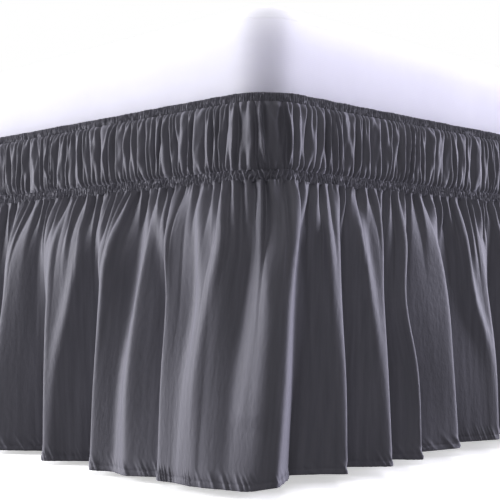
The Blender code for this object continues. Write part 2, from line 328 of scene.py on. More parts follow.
def wall_frame(place):
    """Points on the bed's wall in plan, and the way out of the wall there, for many places."""
    lengths = [CORNER_ARC, 2 * HALF_RUN_Y, CORNER_ARC, 2 * HALF_RUN_X] * 2
    starts = np.concatenate([[0.0], np.cumsum(lengths)])[:-1]
    along = np.mod(np.asarray(place, float) + CORNER_ARC / 2, PERIMETER)
    run = np.searchsorted(starts, along, side="right") - 1
    turn = run // 2
    rest = along - starts[run]
    on_arc = run % 2 == 0
    angle = np.where(on_arc, (turn - 1) * math.pi / 2 + rest / CORNER_RADIUS, turn * math.pi / 2)
    outward = np.stack([np.cos(angle), np.sin(angle)], -1)
    onward = np.stack([-outward[..., 1], outward[..., 0]], -1)
    side_x = np.array([1, 1, -1, -1])[turn]
    side_y = np.array([-1, 1, 1, -1])[turn]
    centre = np.stack([side_x * HALF_RUN_X, side_y * HALF_RUN_Y], -1)
    point = centre + CORNER_RADIUS * outward
    point = point + np.where(on_arc, 0.0, rest)[..., None] * onward
    return point, outward


# ---------------------------------------------------------------------------------------------
# Small helpers

# Soft noise: how many plane waves it is made of, and what keeps their sum mostly from -1 to 1.
WAVES = 24
WAVES_KEPT_SMALL = 1.6


def mix(start, end, share):
    return start + (end - start) * share


def smooth(share):
    share = np.clip(share, 0.0, 1.0)
    return share * share * (3 - 2 * share)


def wavy(seed, x, y, size_x, size_y):
    """Soft noise, mostly from -1 to 1, as a sum of plane waves of about the sizes given."""
    chance = np.random.default_rng(seed)
    total = np.zeros(np.broadcast(x, y).shape)
    for _ in range(WAVES):
        turns_x = chance.normal() / size_x
        turns_y = chance.normal() / size_y
        total += np.sin(2 * math.pi * (turns_x * x + turns_y * y + chance.random()))
    return total * math.sqrt(2 / WAVES) / WAVES_KEPT_SMALL


def lay_flat(mesh, rows):
    """Texture coordinates that lay a grid of cloth out flat, in metres."""
    down, across = rows.shape[:2]
    widths = np.linalg.norm(np.diff(rows, axis=1), axis=-1).mean(axis=0)
    depths = np.linalg.norm(np.diff(rows, axis=0), axis=-1).mean(axis=1)
    flat = np.empty((down, across, 2))
    flat[..., 0] = np.concatenate([[0.0], np.cumsum(widths)])
    flat[..., 1] = -np.concatenate([[0.0], np.cumsum(depths)])[:, None]
    corners = np.empty(len(mesh.loops), int)
    mesh.loops.foreach_get("vertex_index", corners)
    mesh.uv_layers.new(name="flat").data.foreach_set("uv", flat.reshape(-1, 2)[corners].ravel())


def grid_mesh(name, rows, closed=False):
    """Mesh of a grid of points, shape (rows, columns, 3), with its outer face out of the bed."""
    down, across = rows.shape[:2]
    number = np.arange(down * across).reshape(down, across)
    after = np.roll(number, -1, axis=1) if closed else number[:, 1:]
    number = number if closed else number[:, :-1]
    faces = np.stack([number[:-1], number[1:], after[1:], after[:-1]], -1).reshape(-1, 4)
    mesh = bpy.data.meshes.new(name)
    mesh.from_pydata(rows.reshape(-1, 3).tolist(), [], faces.tolist())
    mesh.shade_smooth()
    lay_flat(mesh, rows)
    piece = bpy.data.objects.new(name, mesh)
    bpy.context.scene.collection.objects.link(piece)
    return piece


# ---------------------------------------------------------------------------------------------
# The ruffle's main folds


def hem_height(place):
    """Height of the hem above the floor, in metres, at places along the wall."""
    turn = PERIMETER / MM
    place_mm = np.mod(np.asarray(place) / MM + turn / 2, turn) - turn / 2
    marks = [mark.place for mark in HEM_HEIGHTS]
    heights = [mark.height for mark in HEM_HEIGHTS]
    marks = np.array([marks[-1] - turn] + marks + [marks[0] + turn])
    heights = np.array([heights[-1]] + heights + [heights[0]])
    before = np.clip(np.searchsorted(marks, place_mm) - 1, 0, len(marks) - 2)
    share = (place_mm - marks[before]) / (marks[before + 1] - marks[before])
    return mix(heights[before], heights[before + 1], smooth(share)) * MM


def round_a_corner(place):
    """Whether a place along the wall lies on one of the four corners' arcs."""
    along = (place + CORNER_ARC / 2) % PERIMETER
    for turn in range(4):
        if along < CORNER_ARC:
            return True
        along -= CORNER_ARC + 2 * (HALF_RUN_X if turn % 2 else HALF_RUN_Y)
        if along < 0:
            return False
    return False


def other_folds():
    """Folds, and their ridges, from the last of CORNER_FOLDS on round the bed to the first."""
    chance = random.Random(OTHER_FOLD_SEED)
    ridge_chance = random.Random(OTHER_FOLD_SEED + 1)
    first = CORNER_FOLDS[0].place[-1] + PERIMETER / MM
    place = CORNER_FOLDS[-1].place[-1]
    folds = []
    ridges = []
    while True:
        width = chance.uniform(*OTHER_FOLD_WIDTH)
        if round_a_corner((place + width / 2) * MM):
            width *= FOLD_WIDTH_ROUND_A_CORNER
        place += width
        if place > first - OTHER_FOLD_WIDTH[0] * LEAST_LAST_FOLD:
            return folds, ridges
        sway = chance.uniform(-OTHER_FOLD_SWAY, OTHER_FOLD_SWAY)
        crest = chance.uniform(*OTHER_FOLD_CREST)
        hollow = chance.uniform(*OTHER_FOLD_HOLLOW)
        folds.append(Fold(
            tuple(place + sway * (1 - flare) for flare in FLARE),
            tuple(mix(CREST_AT_HEADING, crest, flare) for flare in FLARE),
            tuple(mix(HOLLOW_AT_HEADING, hollow, flare) for flare in FLARE),
            chance.uniform(*OTHER_FOLD_HOLLOW_AT),
        ))
        ridge = place + width * ridge_chance.uniform(*OTHER_RIDGE_AT)
        lean = ridge_chance.uniform(-OTHER_RIDGE_LEAN, OTHER_RIDGE_LEAN)
        size = ridge_chance.uniform(*OTHER_RIDGE_SIZE)
        ridges.append(Ridge(
            tuple(ridge + lean * (flare - OTHER_RIDGE_PIVOT) for flare in FLARE),
            tuple(height * size for height in OTHER_RIDGE_HEIGHT),
            OTHER_RIDGE_WIDTH,
        ))


def at_level(rows, level):
    """Each row of a table, whose columns stand for LEVELS, at one level: a smooth curve."""
    rows = np.asarray(rows, float)
    knots = np.array(LEVELS)
    slopes = np.gradient(rows, knots, axis=1)
    span = min(int(np.searchsorted(knots, level, side="right")) - 1, len(knots) - 2)
    width = knots[span + 1] - knots[span]
    share = (level - knots[span]) / width
    start, end = rows[:, span], rows[:, span + 1]
    rise = smooth(share)
    into = share * (1 - share) ** 2 * width * slopes[:, span]
    out_of = share ** 2 * (1 - share) * width * slopes[:, span + 1]
    return mix(start, end, rise) + into - out_of


OTHER_FOLDS, OTHER_RIDGES = other_folds()
FOLDS = list(CORNER_FOLDS) + OTHER_FOLDS
RIDGES = list(CORNER_RIDGES) + OTHER_RIDGES
FOLD_PLACES = np.array([fold.place for fold in FOLDS]) * MM
FOLD_OUTS = np.array([fold.out for fold in FOLDS]) * MM
FOLD_HOLLOWS = np.array([fold.hollow for fold in FOLDS]) * MM
HOLLOW_AT = np.array([fold.hollow_at for fold in FOLDS])
RIDGE_PLACES = np.array([ridge.place for ridge in RIDGES]) * MM
RIDGE_HEIGHTS = np.array([ridge.height for ridge in RIDGES]) * MM
RIDGE_WIDTHS = np.array([ridge.width for ridge in RIDGES]) * MM


def ridge_rise(places, level):
    """How far the lesser ridges lift the section at places along the wall."""
    middles = at_level(RIDGE_PLACES, level)
    heights = at_level(RIDGE_HEIGHTS, level)
    rise = np.zeros_like(places)
    for middle, height, width in zip(middles, heights, RIDGE_WIDTHS):
        off = np.mod(places - middle + PERIMETER / 2, PERIMETER) - PERIMETER / 2
        rise += height * np.maximum(1 - np.abs(off) / (RIDGE_FOOT * width), 0.0) ** RIDGE_SHARPNESS
    return rise


def soften(values, step, reach):
    """Values round a closed loop, step apart, smoothed over a reach with a bell curve."""
    turns = np.fft.rfftfreq(len(values), step)
    return np.fft.irfft(np.fft.rfft(values) * np.exp(-2 * (math.pi * turns * reach) ** 2),
                        len(values))


def raw_section(place, out, hollow_out, hollow_at, level):
    """Corners of the folds' section joined by sagging flanks, before its corners are rounded."""
    next_place = np.append(place[1:], place[0] + PERIMETER)
    next_out = np.append(out[1:], out[0])
    hollow_place = mix(place, next_place, hollow_at)
    share = np.linspace(0, 1, FOLD_SAMPLES // 2 + 1)[:-1]
    bend = share * (1 - share)
    on_foot_end = np.mod(place, PERIMETER) > PERIMETER / 2
    before_corner = on_foot_end & (hollow_place < -CORNER_FLANK)
    down = share + np.where(on_foot_end, SHADED_SAG, HOLLOW_SAG)[:, None] * bend
    up = share - np.where(before_corner, HOLLOW_SAG, SHADED_SAG)[:, None] * bend
    places = np.concatenate([mix(place[:, None], hollow_place[:, None], share),
                             mix(hollow_place[:, None], next_place[:, None], share)], axis=1)
    outs = np.concatenate([mix(out[:, None], hollow_out[:, None], down),
                           mix(hollow_out[:, None], next_out[:, None], up)], axis=1)
    places = places.ravel()
    return places, outs.ravel() + ridge_rise(places, level)


def section_spots(places, outs):
    """Points of a section in plan, and the distance run to each of them and back to the first."""
    foot, outward = wall_frame(places)
    spots = foot + outs[:, None] * outward
    steps = np.linalg.norm(np.roll(spots, -1, axis=0) - spots, axis=1)
    return spots, np.concatenate([[0.0], np.cumsum(steps)])


def fold_section(level):
    """Section of all the folds at a level: places, distances out, fold-and-share numbers.

    A fold runs from its crest to the next one, and its share grows evenly with the length of
    the section. The last result is each fold's length along the section. The rounding of the
    corners takes height off the crests, which is put back by starting them higher.
    """
    place = at_level(FOLD_PLACES, level)
    out = at_level(FOLD_OUTS, level)
    hollow_out = at_level(FOLD_HOLLOWS, level)
    hollow_at = mix(0.5, HOLLOW_AT, smooth(level / LEVELS[1]))
    reach = float(np.interp(level, LEVELS, CREST_RADII)) * MM
    raised = out.copy()
    for _ in range(ROUNDING_PASSES):
        places, outs = raw_section(place, raised, hollow_out, hollow_at, level)
        _, run = section_spots(places, outs)
        count = int(run[-1] / SECTION_STEP)
        even = np.arange(count) / count * run[-1]
        step = run[-1] / count
        rounded = soften(np.interp(even, run, np.append(outs, outs[0])), step, reach)
        raised = raised + out - np.interp(run[:-1:FOLD_SAMPLES], even, rounded)
    crests = run[:-1:FOLD_SAMPLES]
    trend = even / run[-1] * PERIMETER
    even_places = np.interp(even, run, np.append(places, places[0] + PERIMETER)) - trend
    even_places = soften(even_places, step, reach) + trend
    number = np.interp(even, np.append(crests, run[-1]), np.arange(len(FOLDS) + 1))
    _, run = section_spots(even_places, rounded)
    lengths = np.diff(np.interp(np.arange(len(FOLDS) + 1), np.append(number, len(FOLDS)), run))
    return even_places, rounded, number, lengths


def section_at(level, columns):
    """Places and distances out of the folds at a level, for columns given as fold and share."""
    places, outs, number, _ = fold_section(level)
    around = len(FOLDS)
    number = np.concatenate([number - around, number, number + around])
    places = np.concatenate([places - PERIMETER, places, places + PERIMETER])
    return np.interp(columns, number, places), np.interp(columns, number, np.tile(outs, 3))


FLAT_WIDTHS = np.max([fold_section(level)[3] for level in np.linspace(0, 1, 21)], axis=0)


def ruffle_columns(start, end, spacing):
    """Columns from one fold's crest to another's, as fold and share, even along the heading."""
    places = np.append(FOLD_PLACES[:, 0], FOLD_PLACES[0, 0] + PERIMETER)
    columns = []
    for fold in range(start, end):
        within = fold % len(FOLDS)
        count = max(int(round((places[within + 1] - places[within]) / spacing)), 4)
        columns.append(fold + np.arange(count) / count)
    columns.append([float(end)])
    return np.concatenate(columns)


def flat_width(start, end):
    """Flat width of the cloth from one fold's crest to another's."""
    return float(sum(FLAT_WIDTHS[fold % len(FOLDS)] for fold in range(start, end)))


# ---------------------------------------------------------------------------------------------
# Gathers


def gather_edges(total, width, spread, seed):
    """Edges of gathers that fill a flat length, each a little wider or narrower."""
    chance = np.random.default_rng(seed)
    count = int(round(total / width))
    widths = 1 + chance.uniform(-spread, spread, count)
    return np.concatenate([[0.0], np.cumsum(widths)]) * total / widths.sum()


def gather_share(place, edges):
    """Number of the gather at each place, and the share of its width from its first edge."""
    where = np.interp(np.mod(place, edges[-1]), edges, np.arange(len(edges)))
    gather = np.minimum(where.astype(int), len(edges) - 2)
    return gather, where - gather


def gather_form(share, crest_at=0.5, crisp=0.35):
    """Height from 0 to 1 across a gather: a rounded crest between two sharp hollows."""
    rise = np.where(share < crest_at, share / crest_at, (1 - share) / (1 - crest_at))
    return crisp * rise + (1 - crisp) * np.sin(math.pi / 2 * rise)


def per_gather(gather, seed, low, high):
    """A random value for each gather."""
    values = np.random.default_rng(seed).uniform(low, high, int(gather.max()) + 1)
    return values[gather]


# ---------------------------------------------------------------------------------------------
# The ruffle


def leaned(crest_at, place):
    """Gathers' crests, nearer the corner's side of each: mirrored along the +X side and on."""
    return np.where(np.mod(place, PERIMETER) < PERIMETER / 2, 1 - crest_at, crest_at)


def ruffle_levels(depth, coarse):
    """Levels of the ruffle's rows."""
    stretches = ((0.0, GATHER_ZONE, GATHER_ROW), (GATHER_ZONE, depth - HEM_ZONE, FALL_ROW),
                 (depth - HEM_ZONE, depth, HEM_ROW))
    depths = [np.linspace(start, end, max(int((end - start) / row / coarse), 2), endpoint=False)
              for start, end, row in stretches]
    return np.append(np.concatenate(depths), depth) / depth


def ruffle_gathers(place, depth):
    """How far the gathers lift the cloth out of its folds, and how strong they are."""
    edges = gather_edges(PERIMETER, LEAF_PITCH, LEAF_SPREAD, LEAF_SEED)
    leaf, leaf_share = gather_share(place, edges)
    pair, pair_share = gather_share(place, edges[::2])
    risen = mix(LEAF_AT_HEADING, 1, smooth(depth / GATHER_RISE))
    leaf_left = np.exp(-(depth / per_gather(leaf, LEAF_SEED + 1, *LEAF_FADE)) ** 2)
    pair_left = np.exp(-(depth / per_gather(pair, LEAF_SEED + 2, *PAIR_FADE)) ** 2)
    leaf_crest = leaned(per_gather(leaf, LEAF_SEED + 3, *LEAF_CREST), place)
    pair_crest = per_gather(pair, LEAF_SEED + 4, *PAIR_CREST)
    leaf_height = per_gather(leaf, LEAF_SEED + 5, *LEAF_HEIGHT) * leaf_left * risen
    pair_height = per_gather(pair, LEAF_SEED + 6, *PAIR_HEIGHT)
    pair_height = pair_height * (1 - PAIR_UNDER_LEAF * leaf_left) * pair_left
    fine_edges = gather_edges(PERIMETER, FINE_PITCH, FINE_SPREAD, LEAF_SEED + 9)
    fine, fine_share = gather_share(place, fine_edges)
    narrow = mix(NARROW_AT_HEADING, BROAD_BELOW, smooth(depth / BROAD_BY))
    fine_left = np.exp(-(depth / per_gather(fine, LEAF_SEED + 10, *FINE_FADE)) ** 2)
    fine_form = gather_form(fine_share, crisp=FINE_CRISP) - FINE_SET_BACK
    leaf_form = gather_form(leaf_share, leaf_crest) ** narrow - LEAF_SET_BACK
    pair_form = gather_form(pair_share, pair_crest, PAIR_CRISP) - PAIR_SET_BACK
    lift = FINE_HEIGHT * fine_left * fine_form
    lift = lift + leaf_height * leaf_form
    return lift + pair_height * pair_form * risen


def hem_form(place, above):
    """How far the turned-up hem stands out, at a height above its lower edge."""
    plump = HEM_PLUMP * smooth((HEM_DEPTH - above) / HEM_PLUMP_EDGE)
    groove = STITCH_GROOVE * np.exp(-((above - HEM_DEPTH) / STITCH_HALF_WIDTH) ** 2)
    edges = gather_edges(PERIMETER, HEM_PUCKER_PITCH, HEM_PUCKER_SPREAD, LEAF_SEED + 20)
    gather, share = gather_share(place + above * HEM_PUCKER_SLANT, edges)
    size = HEM_PUCKER * per_gather(gather, LEAF_SEED + 21, *HEM_PUCKER_SIZES)
    pucker = size * np.sin(math.pi * share) ** 2
    pucker = pucker * np.exp(-((above - HEM_DEPTH) / HEM_PUCKER_FADE) ** 2)
    return plump - groove + pucker


def ruffle(name, start, end, spacing, coarse):
    """One stretch of the deep lower panel, from under the middle heading to its hem."""
    columns = ruffle_columns(start, end, spacing)
    top = MIDDLE_LOW[2] + RUFFLE_OVERLAP
    levels = ruffle_levels(top, coarse)
    heading_place, _ = section_at(0.0, columns)
    rows = np.empty((len(levels) + len(HEM_RETURN), len(columns), 3))
    for row, level in enumerate(levels):
        place, out = section_at(level, columns)
        low = hem_height(place)
        height = mix(top, low, level)
        foot, outward = wall_frame(place)
        spot = foot + out[:, None] * outward
        along = np.gradient(spot, axis=0)
        along /= np.linalg.norm(along, axis=1)[:, None] + 1e-9
        across = np.stack([along[:, 1], -along[:, 0]], -1)
        lift = ruffle_gathers(heading_place, top - height)
        lift = lift + hem_form(heading_place * HEM_FULLNESS, height - low)
        lift = lift + STREAK_HEIGHT * smooth((top - height) / STREAK_RISE) * wavy(
            LEAF_SEED + 30, heading_place, height, *STREAK_SIZE)
        beside_base = height > BASE_UNDERSIDE
        lift = np.where(beside_base, np.maximum(lift, CLOTH_CLEAR - out), lift)
        rows[row, :, :2] = spot + lift[:, None] * across
        rows[row, :, 2] = height
    last = len(levels) - 1
    for step, (inward, rise) in enumerate(HEM_RETURN, start=1):
        rows[last + step, :, :2] = rows[last, :, :2] - inward * across
        rows[last + step, :, 2] = rows[last, :, 2] + rise
    drop = float(np.mean(np.linalg.norm(np.diff(rows, axis=0), axis=-1).sum(axis=0)))
    return grid_mesh(name, rows), flat_width(start, end), drop


# ---------------------------------------------------------------------------------------------
# The upper panel


def upper_panel(name, start, end, spacing, down):
    """One stretch of the shallow panel between the headings."""
    span = (end - start) % PERIMETER
    place = start + np.linspace(0, span, int(span / spacing))[None, :]
    top = TOP_HEADING_LOW[2] + PANEL_OVERLAP
    bottom = MIDDLE_HIGH[2] - PANEL_OVERLAP
    share = np.linspace(0, 1, down)[:, None]
    drop = share * (top - bottom)
    away = np.minimum(drop, top - bottom - drop)
    middle = 1 - np.abs(2 * share - 1) ** PANEL_FLATNESS
    edges = gather_edges(PERIMETER, PANEL_PITCH, PANEL_SPREAD, PANEL_SEED)
    tilt = PANEL_TILT * wavy(PANEL_SEED + 8, place, 0.0, PANEL_TILT_SIZE, 1.0)
    moved = place + PANEL_SWAY * wavy(PANEL_SEED + 1, place, drop, *PANEL_SWAY_SIZE)
    moved = moved + tilt * (share - 0.5)
    gather, across = gather_share(moved, edges)
    crest_at = leaned(per_gather(gather, PANEL_SEED + 2, *PANEL_CREST), place)
    height = per_gather(gather, PANEL_SEED + 3, *PANEL_HEIGHT)
    ends = (per_gather(gather, PANEL_SEED + 4, *SPLIT_FADE),
            per_gather(gather, PANEL_SEED + 5, *SPLIT_FADE))
    split = np.maximum(np.exp(-(drop / ends[0]) ** 2),
                       np.exp(-((top - bottom - drop) / ends[1]) ** 2))
    whole = gather_form(across, crest_at, PANEL_CRISP) ** mix(*PANEL_SHARPNESS, middle)
    halves = gather_form(np.mod(across * 2, 1.0), crisp=PANEL_CRISP)
    swell = PANEL_SWELL[0] + PANEL_SWELL[1] * middle
    out = PANEL_OUT + PANEL_BELLY * middle
    out = out + height * swell * (whole * (1 - SPLIT_LOWERS * split))
    risen = np.minimum(SPLIT_AT_HEADING + away / SPLIT_RISE, 1.0)
    out = out + SPLIT_HEIGHT * split * risen * halves
    out = out + PANEL_UNEVEN * middle * wavy(PANEL_SEED + 6, place, drop, *PANEL_UNEVEN_SIZE)
    lean = per_gather(gather, PANEL_SEED + 7, -1, 1) * PANEL_LEAN * whole * middle
    foot, outward = wall_frame(place + lean + 0 * share)
    rows = np.empty(out.shape + (3,))
    rows[..., :2] = foot + out[..., None] * outward
    rows[..., 2] = mix(top, bottom, share)
    return grid_mesh(name, rows)


# ---------------------------------------------------------------------------------------------
# The headings


def heading(name, low, high, start, end, spacing, down, look):
    """One stretch of an elastic heading: cloth crushed into rows of fine puckers."""
    span = (end - start) % PERIMETER
    place = start + np.linspace(0, span, int(span / spacing))[None, :]
    share = np.linspace(0, 1, down)[:, None]
    drop = share * (high - low)
    out = look.out - EDGE_TURN * (2 * np.abs(share - 0.5)) ** EDGE_SHARPNESS + 0 * place
    edges = gather_edges(PERIMETER, look.pitch, PUCKER_SPREAD, look.seed)
    lattice = np.zeros_like(out)
    side = wavy(look.seed + 9, place, drop, *PUCKER_SIDE_SIZE)
    for way in (-1, 1):
        moved = place + way * look.slant * drop
        moved = moved + look.crush * wavy(look.seed + way, place, drop, *PUCKER_WANDER_SIZE)
        _, across = gather_share(moved, edges)
        size = look.height * np.clip(PUCKER_MEAN + PUCKER_SWING * way * side, PUCKER_LEAST, 1.0)
        uneven = wavy(look.seed + 3 + way, place, drop, *PUCKER_UNEVEN_SIZE)
        size = size * (1 + PUCKER_UNEVEN * uneven)
        pucker = gather_form(across, crisp=PUCKER_CRISP) ** look.narrow
        lattice = np.maximum(lattice, size * pucker)
    out = out + lattice
    foot, outward = wall_frame(place + 0 * share)
    rows = np.empty(out.shape + (3,))
    rows[..., :2] = foot + out[..., None] * outward
    upper = high - EDGE_UNEVEN * (1 + wavy(look.seed + 12, place, 0.0, UPPER_EDGE_SIZE, 1.0))
    lower = low + EDGE_UNEVEN * (1 + wavy(look.seed + 13, place, 0.0, LOWER_EDGE_SIZE, 1.0))
    rows[..., 2] = mix(upper, lower, share)
    return grid_mesh(name, rows)


# ---------------------------------------------------------------------------------------------
# The mattress


def mattress_ring(share, inward, height):
    """One closed ring of the mattress: its outline drawn in, or shrunk toward the middle."""
    foot, outward = wall_frame(np.arange(MATTRESS_COLUMNS) / MATTRESS_COLUMNS * PERIMETER)
    row = np.empty((MATTRESS_COLUMNS, 3))
    row[:, :2] = (foot - inward * outward) * share
    row[:, 2] = height
    return row


def mattress_pad():
    """The mattress: a soft block with rounded rims, closed over its top and bottom."""
    low, high = MATTRESS_LOW[2], MATTRESS_HIGH[2]
    bends = [math.pi / 2 * step / MATTRESS_RIM_STEPS for step in range(MATTRESS_RIM_STEPS + 1)]
    shrunk = np.linspace(MATTRESS_LAST_RING, 1, MATTRESS_TOP_RINGS)[:-1]
    rows = [mattress_ring(share, MATTRESS_RIM, high) for share in shrunk]
    rows += [mattress_ring(1, MATTRESS_RIM * (1 - math.sin(bend)),
                           high - MATTRESS_RIM * (1 - math.cos(bend))) for bend in bends]
    rows += [mattress_ring(1, SEAM_DEPTH * (drop == SEAM_DROPS[1]), high - drop)
             for drop in SEAM_DROPS]
    for step in range(MATTRESS_FIRST_SIDE_STEP, MATTRESS_SIDE_STEPS):
        rows.append(mattress_ring(1, 0.0, mix(high - MATTRESS_RIM, low + MATTRESS_RIM,
                                              step / MATTRESS_SIDE_STEPS)))
    rows += [mattress_ring(1, MATTRESS_RIM * (1 - math.cos(bend)),
                           low + MATTRESS_RIM * (1 - math.sin(bend))) for bend in bends]
    rows += [mattress_ring(share, MATTRESS_RIM, low)
             for share in shrunk[::-MATTRESS_UNDER_EVERY]]
    piece = grid_mesh("mattress_pad", np.array(rows), closed=True)
    shape = bmesh.new()
    shape.from_mesh(piece.data)
    rims = [edge for edge in shape.edges if edge.is_boundary]
    bmesh.ops.holes_fill(shape, edges=rims, sides=0)
    bmesh.ops.recalc_face_normals(shape, faces=shape.faces)
    shape.to_mesh(piece.data)
    shape.free()
    piece.data.shade_smooth()
    return piece


# ---------------------------------------------------------------------------------------------
# Materials

# Small crinkles all over the skirt's cloth: their width and height along it, and their rise.
CRINKLE = (0.0042, 0.0090)
CRINKLE_RISE = 0.0009

# The grain of the gloss, which is also the wood's relief: its rise, and how many grains a patch of
# colour is across. NOISE_MOSTLY is the range that a noise seldom leaves.
GRAIN_RISE = 0.0002
GRAINS_PER_PATCH = 9
NOISE_MOSTLY = (0.32, 0.68)
BUMP_STRENGTH = 0.5
SPECULAR = 0.30
SHEEN_ROUGHNESS = 0.35
SHEEN_TINT = (0.82, 0.78, 1.0, 1)

# How much light the mattress takes in and lets out again, and over what distance.
MATTRESS_GLOW = 0.9
MATTRESS_GLOW_REACH = 0.20

# Each slot's material: its darker and lighter colour, the width and height of the patches of the
# two, the range of its roughness, the thread of its weave (0 for wood) and its rise, whether it
# follows the cloth laid out flat, and its sheen.
Finish = namedtuple("Finish", "name dark light patch roughness thread rise flat sheen")
FINISHES = (
    Finish("skirt_cloth", (0.072, 0.070, 0.087), (0.098, 0.095, 0.117), (0.006, 0.090),
           (0.66, 0.78), 0.0009, 0.00007, True, 0.10),
    Finish("elastic_heading", (0.066, 0.064, 0.081), (0.106, 0.103, 0.128), (0.004, 0.004),
           (0.62, 0.74), 0.0009, 0.00007, True, 0.10),
    Finish("mattress_cloth", (0.58, 0.57, 0.65), (0.62, 0.61, 0.69), (0.120, 0.120),
           (0.80, 0.90), 0.0010, 0.00002, False, 0.0),
    Finish("base_cloth", (0.36, 0.35, 0.34), (0.46, 0.45, 0.44), (0.050, 0.050),
           (0.78, 0.90), 0.0030, 0.00040, False, 0.0),
    Finish("foot_wood", (0.110, 0.060, 0.032), (0.200, 0.115, 0.066), (0.004, 0.080),
           (0.38, 0.52), 0.0, 0.0, False, 0.0),
)


def new_material(name, colour, roughness):
    material = bpy.data.materials.new(name)
    material.use_nodes = True
    shader = material.node_tree.nodes["Principled BSDF"]
    shader.inputs["Base Color"].default_value = (*colour, 1)
    shader.inputs["Roughness"].default_value = roughness
    return material, shader


def sized(tree, place, size_x, size_y, size_z=1.0):
    """Coordinates that count in patches of a size, from coordinates in metres."""
    counted = tree.nodes.new("ShaderNodeMapping")
    counted.inputs["Scale"].default_value = (1 / size_x, 1 / size_y, 1 / size_z)
    tree.links.new(place, counted.inputs["Vector"])
    return counted.outputs["Vector"]


def noise(tree, place, detail):
    cloud = tree.nodes.new("ShaderNodeTexNoise")
    cloud.inputs["Scale"].default_value = 1.0
    cloud.inputs["Detail"].default_value = detail
    tree.links.new(place, cloud.inputs["Vector"])
    return cloud.outputs["Fac"]


def spread(tree, share, low, high):
    """A noise, which keeps near its middle, spread from a low value to a high one."""
    ranged = tree.nodes.new("ShaderNodeMapRange")
    ranged.inputs["From Min"].default_value = NOISE_MOSTLY[0]
    ranged.inputs["From Max"].default_value = NOISE_MOSTLY[1]
    ranged.inputs["To Min"].default_value = low
    ranged.inputs["To Max"].default_value = high
    tree.links.new(share, ranged.inputs["Value"])
    return ranged.outputs["Result"]


def weave(tree, place, thread):
    """Height of a plain weave: threads over and under each other both ways."""
    split = tree.nodes.new("ShaderNodeSeparateXYZ")
    tree.links.new(sized(tree, place, thread / math.pi, thread / math.pi, thread / math.pi),
                   split.inputs["Vector"])
    waves = []
    for axis in ("X", "Y", "Z"):
        wave = tree.nodes.new("ShaderNodeMath")
        wave.operation = "SINE"
        tree.links.new(split.outputs[axis], wave.inputs[0])
        waves.append(wave.outputs["Value"])
    crossed = tree.nodes.new("ShaderNodeMath")
    crossed.operation = "MULTIPLY"
    tree.links.new(waves[0], crossed.inputs[0])
    tree.links.new(waves[1], crossed.inputs[1])
    total = tree.nodes.new("ShaderNodeMath")
    total.operation = "ADD"
    tree.links.new(crossed.outputs["Value"], total.inputs[0])
    tree.links.new(waves[2], total.inputs[1])
    return total.outputs["Value"]


def detailed_material(finish):
    """Cloth or wood whose colour, gloss and surface vary in fine patches."""
    material, shader = new_material(finish.name, finish.light, finish.roughness[1])
    tree = material.node_tree
    coordinates = tree.nodes.new("ShaderNodeTexCoord")
    place = coordinates.outputs["UV" if finish.flat else "Object"]
    wide, tall = finish.patch
    patches = noise(tree, sized(tree, place, wide, wide if not finish.flat else tall, tall), 4)
    fine, long = wide / GRAINS_PER_PATCH, tall / GRAINS_PER_PATCH
    grain = noise(tree, sized(tree, place, fine, long, long), 3)
    colour = tree.nodes.new("ShaderNodeMix")
    colour.data_type = "RGBA"
    colour.inputs["A"].default_value = (*finish.dark, 1)
    colour.inputs["B"].default_value = (*finish.light, 1)
    tree.links.new(spread(tree, patches, 0, 1), colour.inputs["Factor"])
    tree.links.new(colour.outputs["Result"], shader.inputs["Base Color"])
    tree.links.new(spread(tree, grain, *finish.roughness), shader.inputs["Roughness"])
    bump = tree.nodes.new("ShaderNodeBump")
    bump.inputs["Strength"].default_value = BUMP_STRENGTH
    bump.inputs["Distance"].default_value = finish.rise if finish.thread else GRAIN_RISE
    tree.links.new(weave(tree, place, finish.thread) if finish.thread else grain,
                   bump.inputs["Height"])
    if finish.flat:
        crinkles = tree.nodes.new("ShaderNodeBump")
        crinkles.inputs["Strength"].default_value = BUMP_STRENGTH
        crinkles.inputs["Distance"].default_value = CRINKLE_RISE
        tree.links.new(noise(tree, sized(tree, place, *CRINKLE), 3), crinkles.inputs["Height"])
        tree.links.new(crinkles.outputs["Normal"], bump.inputs["Normal"])
    tree.links.new(bump.outputs["Normal"], shader.inputs["Normal"])
    shader.inputs["Specular IOR Level"].default_value = SPECULAR
    shader.inputs["Sheen Weight"].default_value = finish.sheen
    shader.inputs["Sheen Roughness"].default_value = SHEEN_ROUGHNESS
    shader.inputs["Sheen Tint"].default_value = SHEEN_TINT
    return material


# ---------------------------------------------------------------------------------------------
# Camera, light and floor

CAMERA_PLACE = (1.2113, -1.6984, 0.2155)
CAMERA_YAW = 2.35072
CAMERA_PITCH = 0.031456
CAMERA_LENS = 72.83

# Strength of the even light all round and of the floor's own glow, as of a light table, and the
# soft lights, all turned to the corner that the camera sees: azimuth and elevation from there, in
# degrees. The two side lights graze the two walls that show, and bring out their folds.
AROUND = 0.004
FLOOR_SIZE = 16
FLOOR_COLOUR = (0.98, 0.98, 0.98)
FLOOR_ROUGHNESS = 0.9
FLOOR_GLOW = 0.5
LIT_CORNER = (0.45, -0.93, 0.22)
Light = namedtuple("Light", "name azimuth elevation distance power size colour")
LIGHTS = (
    Light("top", 315, 88, 3.0, 66, (2.6, 2.6), (1, 1, 1)),
    Light("front", 315, 14, 3.2, 33, (2.2, 2.2), (1, 1, 1)),
    Light("back", 135, 30, 4.2, 55, (2.6, 2.6), (1, 1, 1)),
    Light("left", 214, 9, 8.0, 1480, (3.2, 3.2), (0.96, 0.96, 1)),
    Light("right", 63, 9, 8.0, 1460, (3.2, 3.2), (0.88, 0.87, 1.0)),
)


